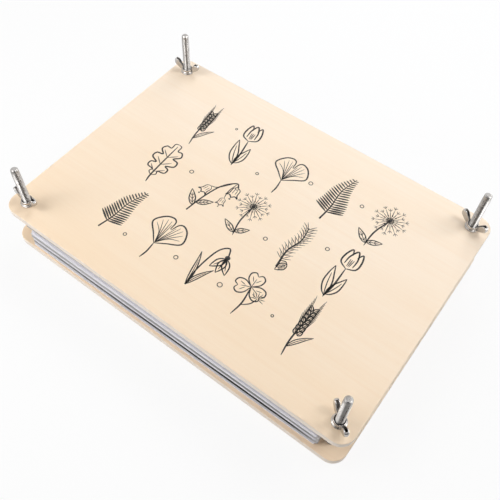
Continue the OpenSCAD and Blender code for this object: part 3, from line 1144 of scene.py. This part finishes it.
def make_plywood(name, board, shift):
    """Two face tones mixed by broad clouds, then streaks, grain and pores, each laid over by its own share,
    and a warm painted shade that grows towards the front edge. On the sides a ramp over the height gives the
    plies, under the rough grain of the saw cut."""
    material, tree, shader = start_material(name)
    tone = {part: linear(*colour) for part, colour in wood_tones.items()}
    low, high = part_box(board)
    broad = streaks(tree, (0.006, 0.03, 0.03), shift, 2.0)
    drawn = streaks(tree, (0.01, 0.35, 0.35), shift, 4.0)
    fine = streaks(tree, (0.04, 2.6, 2.6), shift, 3.0)
    pores = spread(tree, streaks(tree, (0.35, 5.5, 5.5), shift, 1.0), 0.68, 0.78)
    face = mix_colour(tree, spread(tree, broad, 0.3, 0.7), tone["face"], tone["pale_face"])
    face = mix_colour(tree, spread(tree, drawn, 0.4, 0.7, 0.0, 0.4), face, tone["streak"])
    face = mix_colour(tree, spread(tree, fine, 0.45, 0.75, 0.0, 0.22), face, tone["grain"])
    face = mix_colour(tree, math_of(tree, "MULTIPLY", pores, 0.25), face, tone["pore"])
    place = add(tree, "ShaderNodeTexCoord")
    apart = add(tree, "ShaderNodeSeparateXYZ", {0: place.outputs["Object"]})
    # Painted shade: the face turns darker and warmer towards the front edge.
    front_shade_share = spread(tree, apart.outputs["Y"], 0.5 * high.y, low.y)
    face = mix_colour(tree, front_shade_share, face, front_painted_shade, "MULTIPLY")

    plies = add(tree, "ShaderNodeValToRGB", {"Fac": spread(tree, apart.outputs["Z"], low.z, high.z)})
    ramp = plies.color_ramp
    ramp.interpolation = "EASE"
    ply_tones = [tone["pale_ply"], tone["ply"], tone["pale_ply"], tone["ply"], tone["pale_ply"]]
    count = len(ply_tones)
    while len(ramp.elements) < 2 * count:
        ramp.elements.new(0.5)
    for k, colour in enumerate(ply_tones):
        for n, position in enumerate((k / count + ply_blur, (k + 1) / count - ply_blur)):
            ramp.elements[2 * k + n].position = position
            ramp.elements[2 * k + n].color = colour

    side_share = side_share_of(tree, place)
    end_grain = streaks(tree, (1.6, 1.6, 2.2), shift, 3.0)
    end_shade = spread(tree, end_grain, 0.35, 0.7, 0.0, 0.5)
    side = mix_colour(tree, end_shade, plies.outputs["Color"], tone["end_grain"])
    tree.links.new(mix_colour(tree, side_share, face, side), shader.inputs["Base Color"])
    tree.links.new(spread(tree, fine, 0.3, 0.7, 0.55, 0.7), shader.inputs["Roughness"])
    end_relief = math_of(tree, "MULTIPLY", end_grain, side_share)
    grain = math_of(tree, "ADD", math_of(tree, "MULTIPLY", fine, 0.6), end_relief)
    relief = math_of(tree, "SUBTRACT", grain, math_of(tree, "MULTIPLY", pores, 0.4))
    raise_by(tree, shader, relief, 0.35, 0.05 * mm)
    return material


give(top_ply, make_plywood("sanded_plywood_top", "top_board", top_shift))
give(bottom_ply, make_plywood("sanded_plywood_bottom", "bottom_board", bottom_shift))

# %% [markdown]
# ## Printing ink
# The ink is matt and sank into the wood, so it isn't one flat black. Where the print is thin the long grain
# below shows through as brown, which the same noise as the board's gives here.

# %% Printing ink
ink_black = linear(31, 29, 28)
ink_thin = linear(98, 88, 78)


def make_ink():
    """Black, mixed with brown by a noise drawn out along the grain."""
    material, tree, shader = start_material("printing_ink", Roughness=0.6)
    thin = streaks(tree, (0.12, 2.4, 2.4), top_shift, 3.0)
    thin_share = spread(tree, thin, 0.5, 0.85, 0.0, 0.4)
    tree.links.new(mix_colour(tree, thin_share, ink_black, ink_thin), shader.inputs["Base Color"])
    return material


give(ink, make_ink())

# %% [markdown]
# ## Zinc-plated steel
# Zinc leaves steel grey and silky, with clouds of more and less gloss and fine scratches up and down. Painted
# shade darkens the roots of the thread and the hollows of the wings. One function makes all three finishes:
# bolts, nuts and washers differ in their gloss and in the mask that says where shade is painted on them.

# %% Zinc-plated steel
steel_bright = linear(201, 198, 195)
steel_cloudy = linear(184, 181, 179)
steel_painted_shade = linear(92, 88, 84)


def make_steel(name, rough_low, rough_high, mask=None):
    """Two metal tones mixed by a cloudy noise, which sets the gloss too, and thin scratches as relief."""
    material, tree, shader = start_material(name, Metallic=1.0)
    cloud = streaks(tree, (0.35, 0.35, 0.2), (0.4, 0.1, 0.2), 3.0)
    scratch = streaks(tree, (6.0, 6.0, 0.5), (0.2, 0.3, 0.1), 2.0)
    colour = mix_colour(tree, spread(tree, cloud, 0.35, 0.7), steel_bright, steel_cloudy)
    # The mask paints shade: it mixes in the shaded tone at the thread's roots, in the wing folds and in the
    # nut's mouth.
    if mask:
        depth = add(tree, "ShaderNodeAttribute", attribute_name=mask).outputs["Fac"]
        colour = mix_colour(tree, math_of(tree, "MULTIPLY", depth, 0.85), colour, steel_painted_shade)
    tree.links.new(colour, shader.inputs["Base Color"])
    tree.links.new(spread(tree, cloud, 0.3, 0.75, rough_low, rough_high), shader.inputs["Roughness"])
    raise_by(tree, shader, scratch, 0.15, 0.02 * mm)
    return material


threaded_steel = make_steel("zinc_thread", 0.24, 0.34, "groove_shade")
folded_steel = make_steel("zinc_sheet", 0.14, 0.28, "hollow")
punched_steel = make_steel("zinc_washer", 0.2, 0.34)
for corner in corners:
    give(bolts[corner], threaded_steel)
    give(nuts[corner], folded_steel)
    give(washers[corner], punched_steel)

# %% [markdown]
# ## Card and paper
# Both are white and matt. The card is smooth and a little warmer, and the blotting paper is rough and a
# little bluer. Where a sheet was cut its plies show as thin level lines. The nearly black inside of the
# cards, the brown of the wavy sheet with painted shade over it, is part of the same finish, mixed in by the
# mask that the cards carry, so the two never part.

# %% Card and paper
card_tones = {
    "sheet": (238, 236, 236),
    "cloud": (231, 229, 230),
    "fleck": (205, 203, 204),
    # The inside tone is painted shade: the brown of the wavy sheet darkened to nearly black.
    "inside": (24, 15, 9),
}
paper_tones = {
    "sheet": (240, 239, 244),
    "cloud": (235, 233, 239),
    "fleck": (212, 210, 218),
}


def make_paper(name, tones, fibre, lines, strength, mask=None):
    """Fibres as round noise, and thin level lines where the cut edge shows the plies of the sheet. A mask
    paints the shade inside a card."""
    material, tree, shader = start_material(name, Roughness=0.85)
    tone = {part: linear(*colour) for part, colour in tones.items()}
    fleck = streaks(tree, (fibre, fibre, fibre), (0.1, 0.6, 0.2), 4.0)
    cloud = streaks(tree, (0.02, 0.02, 0.02), (0.3, 0.2, 0.2), 2.0)
    level = streaks(tree, (0.02, 0.02, lines), (0.2, 0.5, 0.7), 3.0)
    colour = mix_colour(tree, spread(tree, cloud, 0.3, 0.7), tone["sheet"], tone["cloud"])
    side_share = side_share_of(tree, add(tree, "ShaderNodeTexCoord"))
    line_share = math_of(tree, "MULTIPLY", spread(tree, level, 0.45, 0.62, 0.0, 0.7), side_share)
    colour = mix_colour(tree, line_share, colour, tone["fleck"])
    colour = mix_colour(tree, spread(tree, fleck, 0.5, 0.8, 0.0, 0.5), colour, tone["fleck"])
    if mask:
        share = add(tree, "ShaderNodeAttribute", attribute_name=mask).outputs["Fac"]
        colour = mix_colour(tree, share, colour, tone["inside"])
    tree.links.new(colour, shader.inputs["Base Color"])
    raise_by(tree, shader, fleck, strength, 0.05 * mm)
    return material


card_finish = make_paper("white_lined_card", card_tones, 1.2, 5.0, 0.2, "kraft_and_shade")
paper_finish = make_paper("blotting_paper", paper_tones, 2.2, 4.0, 0.4)
for card in cards:
    give(card, card_finish)
for sheets in papers:
    give(sheets, paper_finish)

# %% [markdown]
# ## The floor
# The press stands on white. A backdrop could be lit until it turns white, but that much light would bleach
# the wood too. So the floor glows white for the camera by itself, and mixes in enough of its shading to keep
# the shadow of the press.

# %% Floor
floor_half = 3.0
floor_grey = (0.9, 0.9, 0.9, 1)
white_light = (1, 1, 1, 1)
floor_glow_share = 0.88
bounce_glow_share = 0.5


def white_for_rays(tree):
    """One where a ray comes from the camera, a mirror-like surface or a clear one, and nil elsewhere."""
    path = add(tree, "ShaderNodeLightPath")
    seen = math_of(tree, "MAXIMUM", path.outputs["Is Camera Ray"], path.outputs["Is Glossy Ray"])
    return math_of(tree, "MAXIMUM", seen, path.outputs["Is Transmission Ray"])


side = np.linspace(-floor_half, floor_half, 3)
floor_x, floor_y = np.meshgrid(side, side)
floor_points = np.stack([floor_x, floor_y, np.zeros_like(floor_x)], 2)
floor_faces = [[0, 1, 4, 3], [1, 2, 5, 4], [3, 4, 7, 6], [4, 5, 8, 7]]
floor = piece_from("studio_floor", floor_points, floor_faces)
floor_material = bpy.data.materials.new("studio_white")
floor_material.use_nodes = True
tree = floor_material.node_tree
tree.nodes.clear()
plain = add(tree, "ShaderNodeBsdfDiffuse", {"Color": floor_grey})
glow = add(tree, "ShaderNodeEmission", {"Color": white_light, "Strength": 1.0})
seen_share = math_of(tree, "MULTIPLY", white_for_rays(tree), floor_glow_share - bounce_glow_share)
glow_share = math_of(tree, "ADD", seen_share, bounce_glow_share)
mixed = add(tree, "ShaderNodeMixShader", {0: glow_share, 1: plain.outputs[0], 2: glow.outputs[0]})
add(tree, "ShaderNodeOutputMaterial", {"Surface": mixed.outputs[0]})
give(floor, floor_material)

# %% [markdown]
# ## Dark flags
# Bare metal shows its surroundings, and in an all-white room a bolt looks like paper. Three dark cloths near
# the camera give the bolts their dark core, and a small one over the board shades their inner sides. A dark
# stripe painted on the bolts would do so from one side only, and would turn with the piece.

# %% Dark flags
flag_tone = linear(40, 38, 38)
flag_low = 0.08
flag_high = 0.5
near_flag_z = 0.2
high_outline = [
    (-0.09, -0.20), (0.03, -0.56), (0.55, -0.56), (0.55, -0.27), (0.24, -0.12), (0.10, 0.02), (-0.08, 0.04),
]
near_outline = [(-0.02, -0.085), (0.11, -0.085), (0.11, 0.07), (-0.02, 0.07)]


def make_flag(name, points):
    """A dark cloth that only mirror-like surfaces see. It gives the bolts their dark core, as the dark end
    of a studio does."""
    flag = piece_from(name, points, [list(range(len(points)))])
    flag.visible_camera = False
    flag.visible_diffuse = False
    flag.visible_shadow = False
    material, tree, shader = start_material(name, Roughness=0.9)
    shader.inputs["Base Color"].default_value = flag_tone
    give(flag, material)


make_flag("high_flag", [(x, y, flag_high) for x, y in high_outline])
for k, name in enumerate(("front_flag", "side_flag"), 1):
    start, end = high_outline[k:k + 2]
    make_flag(name, [(*start, flag_low), (*end, flag_low), (*end, flag_high), (*start, flag_high)])
make_flag("near_flag", [(x, y, near_flag_z) for x, y in near_outline])

# %% [markdown]
# ## Soft light
# The world adds a little light from all around. Lamps at the left, the back and the right light the wood and
# the paper, so each bolt throws faint shadows, and a low fill reaches the edges under the top board. One
# large lamp would be simpler, but then wood and metal couldn't each have what suits them. So the metal has
# lamps of its own: two bright strips above the press, and two at the right and the back for the bolts' edges.

# %% World
ambient = 0.2
world = bpy.data.worlds.new("studio")
bpy.context.scene.world = world
world.use_nodes = True
tree = world.node_tree
tree.nodes.clear()
soft = add(tree, "ShaderNodeBackground", {"Color": white_light, "Strength": ambient})
white = add(tree, "ShaderNodeBackground", {"Color": white_light, "Strength": 1.0})
mixed = add(tree, "ShaderNodeMixShader", {0: white_for_rays(tree), 1: soft.outputs[0], 2: white.outputs[0]})
add(tree, "ShaderNodeOutputWorld", {"Surface": mixed.outputs[0]})

# %% Lamps
cool = (0.92, 0.96, 1.0)
press_middle = Vector((0, 0, 0.04))


def soft_lamp(name, place, power, size, tint=(1, 1, 1), matte=True, mirrored=True):
    """A square lamp that faces the middle of the press. It lights matte surfaces, mirror-like ones, or
    both."""
    light = bpy.data.lights.new(name, "AREA")
    light.energy = power
    light.size = size
    light.color = tint
    lamp = bpy.data.objects.new(name, light)
    lamp.location = place
    lamp.rotation_euler = (press_middle - Vector(place)).to_track_quat("-Z", "Y").to_euler()
    lamp.visible_diffuse = matte
    lamp.visible_glossy = mirrored
    bpy.context.scene.collection.objects.link(lamp)
    print(name, "of", power, "watts")


soft_lamp("overhead_fill", (0.0, 0.0, 0.9), 1.5, 1.2, mirrored=False)
soft_lamp("front_fill", (-0.70, -0.85, 0.2), 5.6, 0.7, mirrored=False)
soft_lamp("left_lamp", (-0.46, -0.32, 0.60), 1.8, 0.4, mirrored=False)
soft_lamp("back_lamp", (-0.14, 0.60, 0.60), 2.5, 0.4, cool, mirrored=False)
soft_lamp("right_lamp", (0.48, 0.36, 0.60), 1.9, 0.34, mirrored=False)
soft_lamp("left_strip", (-0.28, -0.39, 0.60), 2.8, 0.42, matte=False)
soft_lamp("right_strip", (0.44, 0.08, 0.60), 1.9, 0.34, matte=False)
soft_lamp("right_edge_strip", (1.0, 0.25, 0.42), 1.8, 0.5, matte=False)
soft_lamp("back_edge_strip", (0.36, 0.86, 0.47), 1.8, 0.5, matte=False)

# %% [markdown]
# ## The camera
# The press is seen from the front right and well above, with its long front edge falling to the right. The
# camera could be placed by eye, but a fit to the edges and the bolts puts each of them within half a pixel.
# The small roll is how the camera was held.

# %% Camera
camera_place = Vector((0.15921, -0.23109, 0.42108))
looks_at = Vector((0.01908, -0.02514, 0.0461))
camera_roll = math.radians(2.94)
focal_length = 45.44
sensor_width = 36
nearest_seen = 0.01

camera = bpy.data.cameras.new("camera")
camera.lens = focal_length
camera.sensor_width = sensor_width
camera.clip_start = nearest_seen
camera_object = bpy.data.objects.new("camera", camera)
bpy.context.scene.collection.objects.link(camera_object)
facing = (looks_at - camera_place).to_track_quat("-Z", "Y")
camera_object.rotation_mode = "QUATERNION"
camera_object.rotation_quaternion = facing @ Matrix.Rotation(camera_roll, 3, "Z").to_quaternion()
camera_object.location = camera_place
bpy.context.scene.camera = camera_object
bpy.context.scene.view_settings.view_transform = "Standard"
print("camera at", [round(x, 4) for x in camera_place], "with a lens of", focal_length, "mm")
